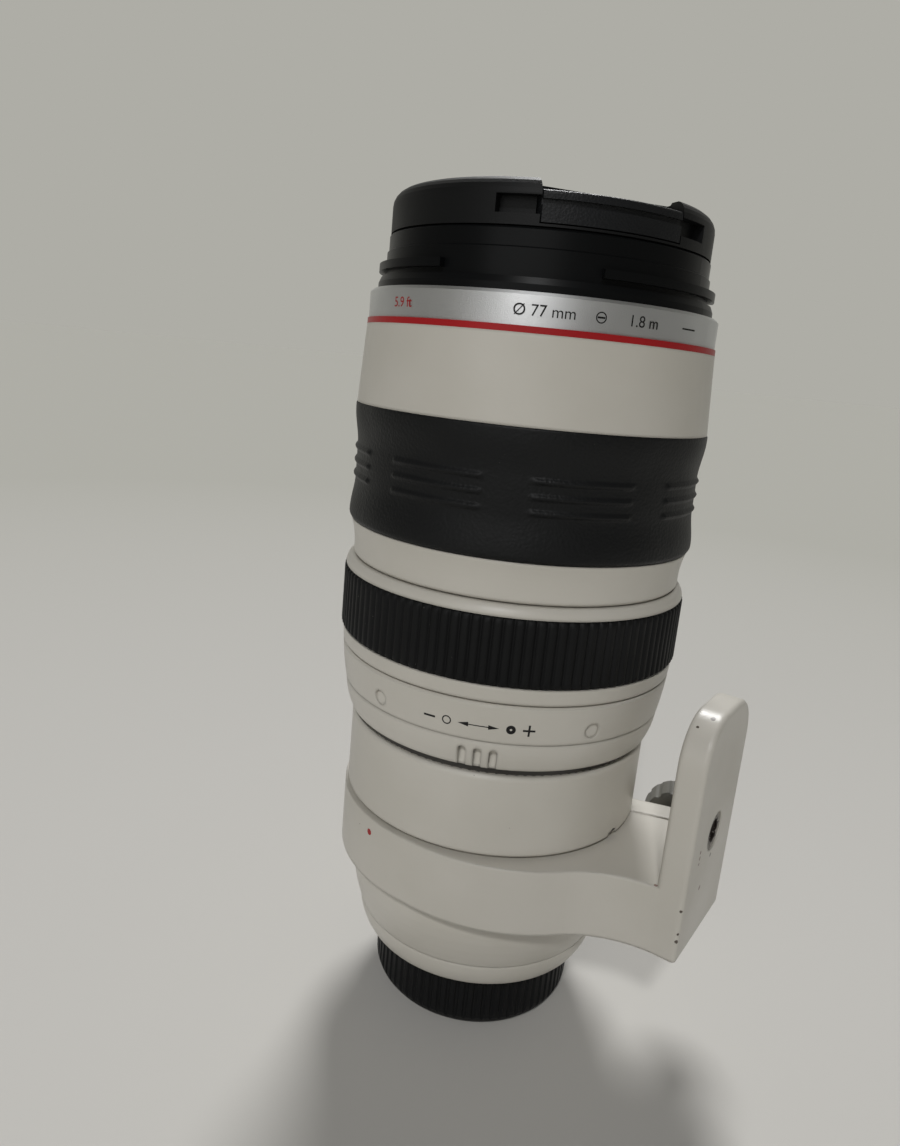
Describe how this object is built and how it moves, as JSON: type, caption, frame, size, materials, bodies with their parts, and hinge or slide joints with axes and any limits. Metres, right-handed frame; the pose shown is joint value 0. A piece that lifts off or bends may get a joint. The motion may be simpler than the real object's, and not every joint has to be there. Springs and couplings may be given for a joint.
{
  "type": "camera zoom lens",
  "caption": "Push-pull telephoto zoom lens with rubber zoom and focus rings, a tension ring, a rotating tripod collar with foot, and front and rear caps.",
  "frame": {"origin": "centre of the rear cap's bottom face, on the optical axis, where the lens stands on a table", "axes": "+Z along the optical axis towards the front element, +X from the axis to the tripod foot, +Y towards the clamp knob and the switch panel"},
  "size_m": [0.1115, 0.092, 0.2179],
  "materials": {
    "barrel_paint": "painted, satin",
    "black_plastic": "satin",
    "black_alloy": "black anodised",
    "grip_rubber": "leather-like grain",
    "silver_ring": "fine metallic paint",
    "accent_red": "gloss",
    "optical_glass": "polished, coated",
    "steel": "plated",
    "brass": "machined",
    "alloy": "machined",
    "liner_felt": "felt",
    "board": "lacquered"
  },
  "bodies": {
    "lens_body": {"lens_mount": "steel", "mount_screws": "steel", "contact_block": "black_plastic", "contact_pins": "brass", "rear_baffle": "black_plastic", "end_ring": "barrel_paint", "rear_barrel": "barrel_paint", "rear_cell": "alloy", "rear_elements": "optical_glass", "main_board": "board", "stabiliser_base": "black_plastic", "main_barrel": "barrel_paint", "scale_window": "optical_glass", "switch_plate": "black_plastic", "motor_stator": "brass", "iris_housing": "black_plastic", "iris_cover": "black_plastic", "iris_blades": "alloy", "scale_tube": "barrel_paint", "guide_tube": "alloy", "friction_band": "black_plastic", "focus_base": "black_plastic", "focus_rods": "steel"},
    "rear_cap": {"rear_cap": "black_plastic"},
    "stabiliser_guide": {"stabiliser_guide": "steel"},
    "stabiliser_cell": {"stabiliser_cell": "alloy", "stabiliser_element": "optical_glass"},
    "focus_mode_switch": {"focus_mode_switch": "alloy"},
    "focus_range_switch": {"focus_range_switch": "alloy"},
    "stabiliser_switch": {"stabiliser_switch": "alloy"},
    "stabiliser_mode_switch": {"stabiliser_mode_switch": "alloy"},
    "distance_drum": {"distance_drum": "black_alloy"},
    "collar": {"tripod_collar": "barrel_paint", "collar_liner": "liner_felt", "tripod_bush": "steel"},
    "clamp_knob": {"clamp_knob": "barrel_paint", "clamp_screw": "steel"},
    "focus_group": {"focus_cell": "alloy", "focus_elements": "optical_glass"},
    "cam_barrel": {"cam_barrel": "alloy"},
    "variator": {"variator_cell": "black_alloy", "variator_elements": "optical_glass", "variator_followers": "brass"},
    "tension_ring": {"tension_ring": "barrel_paint", "tension_plugs": "barrel_paint"},
    "focus_ring": {"focus_ring": "barrel_paint", "focus_grip": "grip_rubber"},
    "zoom_sleeve": {"front_sleeve": "barrel_paint", "zoom_grip": "grip_rubber", "accent_ring": "accent_red", "name_ring": "silver_ring", "filter_ring": "black_alloy", "front_cell": "black_alloy", "zoom_followers": "brass", "front_element": "optical_glass", "front_doublet": "optical_glass", "front_retainer": "black_alloy"},
    "front_cap": {"front_cap": "black_plastic"},
    "cap_tab_near": {"cap_tab_near": "black_plastic"},
    "cap_tab_far": {"cap_tab_far": "black_plastic"}
  },
  "joints": [
    {"name": "zoom_slide", "type": "slide", "parent": "lens_body", "child": "zoom_sleeve", "axis": [0, 0, 1], "range_m": [0, 0.06]},
    {"name": "cam_turn", "type": "hinge", "parent": "lens_body", "child": "cam_barrel", "pos_m": [0, 0, 0.12], "axis": [0, 0, 1], "range_deg": [0, 60]},
    {"name": "variator_slide", "type": "slide", "parent": "lens_body", "child": "variator", "axis": [0, 0, 1], "range_m": [0, 0.021]},
    {"name": "focus_turn", "type": "hinge", "parent": "lens_body", "child": "focus_ring", "pos_m": [0, 0, 0.115], "axis": [0, 0, 1], "range_deg": [0, 140]},
    {"name": "scale_turn", "type": "hinge", "parent": "lens_body", "child": "distance_drum", "pos_m": [0, 0, 0.072], "axis": [0, 0, 1], "range_deg": [0, 70]},
    {"name": "focus_group_slide", "type": "slide", "parent": "lens_body", "child": "focus_group", "axis": [0, 0, 1], "range_m": [0, 0.005]},
    {"name": "tension_turn", "type": "hinge", "parent": "lens_body", "child": "tension_ring", "pos_m": [0, 0, 0.094], "axis": [0, 0, 1], "range_deg": [0, 50]},
    {"name": "collar_turn", "type": "hinge", "parent": "lens_body", "child": "collar", "pos_m": [0, 0, 0.0521], "axis": [0, 0, 1], "continuous": true},
    {"name": "knob_turn", "type": "hinge", "parent": "collar", "child": "clamp_knob", "pos_m": [0.04819, 0.02674, 0.0535], "axis": [-0.301, 0.9536, 0], "range_deg": [0, 360]},
    {"name": "focus_mode_slide", "type": "slide", "parent": "lens_body", "child": "focus_mode_switch", "axis": [0, 0, 1], "range_m": [0, 0.003]},
    {"name": "focus_range_slide", "type": "slide", "parent": "lens_body", "child": "focus_range_switch", "axis": [0, 0, 1], "range_m": [0, 0.003]},
    {"name": "stabiliser_switch_slide", "type": "slide", "parent": "lens_body", "child": "stabiliser_switch", "axis": [0, 0, 1], "range_m": [0, 0.003]},
    {"name": "stabiliser_mode_slide", "type": "slide", "parent": "lens_body", "child": "stabiliser_mode_switch", "axis": [0, 0, 1], "range_m": [0, 0.003]},
    {"name": "stabiliser_shift_x", "type": "slide", "parent": "lens_body", "child": "stabiliser_guide", "axis": [1, 0, 0], "range_m": [-0.001, 0.001], "stiffness_N_per_m": 100},
    {"name": "stabiliser_shift_y", "type": "slide", "parent": "stabiliser_guide", "child": "stabiliser_cell", "axis": [0, 1, 0], "range_m": [-0.001, 0.001], "stiffness_N_per_m": 100},
    {"name": "front_cap_lift", "type": "slide", "parent": "zoom_sleeve", "child": "front_cap", "axis": [0, 0, 1], "range_m": [0, 0.03]},
    {"name": "cap_tab_near_press", "type": "slide", "parent": "front_cap", "child": "cap_tab_near", "axis": [-0.766, 0.6428, 0], "range_m": [0, 0.0025], "stiffness_N_per_m": 300, "springref_m": -0.004},
    {"name": "cap_tab_far_press", "type": "slide", "parent": "front_cap", "child": "cap_tab_far", "axis": [0.766, -0.6428, 0], "range_m": [0, 0.0025], "stiffness_N_per_m": 300, "springref_m": -0.004},
    {"name": "rear_cap_twist", "type": "hinge", "parent": "lens_body", "child": "rear_cap", "pos_m": [0, 0, 0.01], "axis": [0, 0, -1], "range_deg": [0, 60]}
  ],
  "couplings": [
    {"joint": "cam_turn", "follows": "zoom_slide", "rad_per_m": 17.453},
    {"joint": "variator_slide", "follows": "zoom_slide", "ratio": 0.35},
    {"joint": "scale_turn", "follows": "focus_turn", "ratio": 0.5},
    {"joint": "focus_group_slide", "follows": "focus_turn", "m_per_rad": 0.002046}
  ]
}
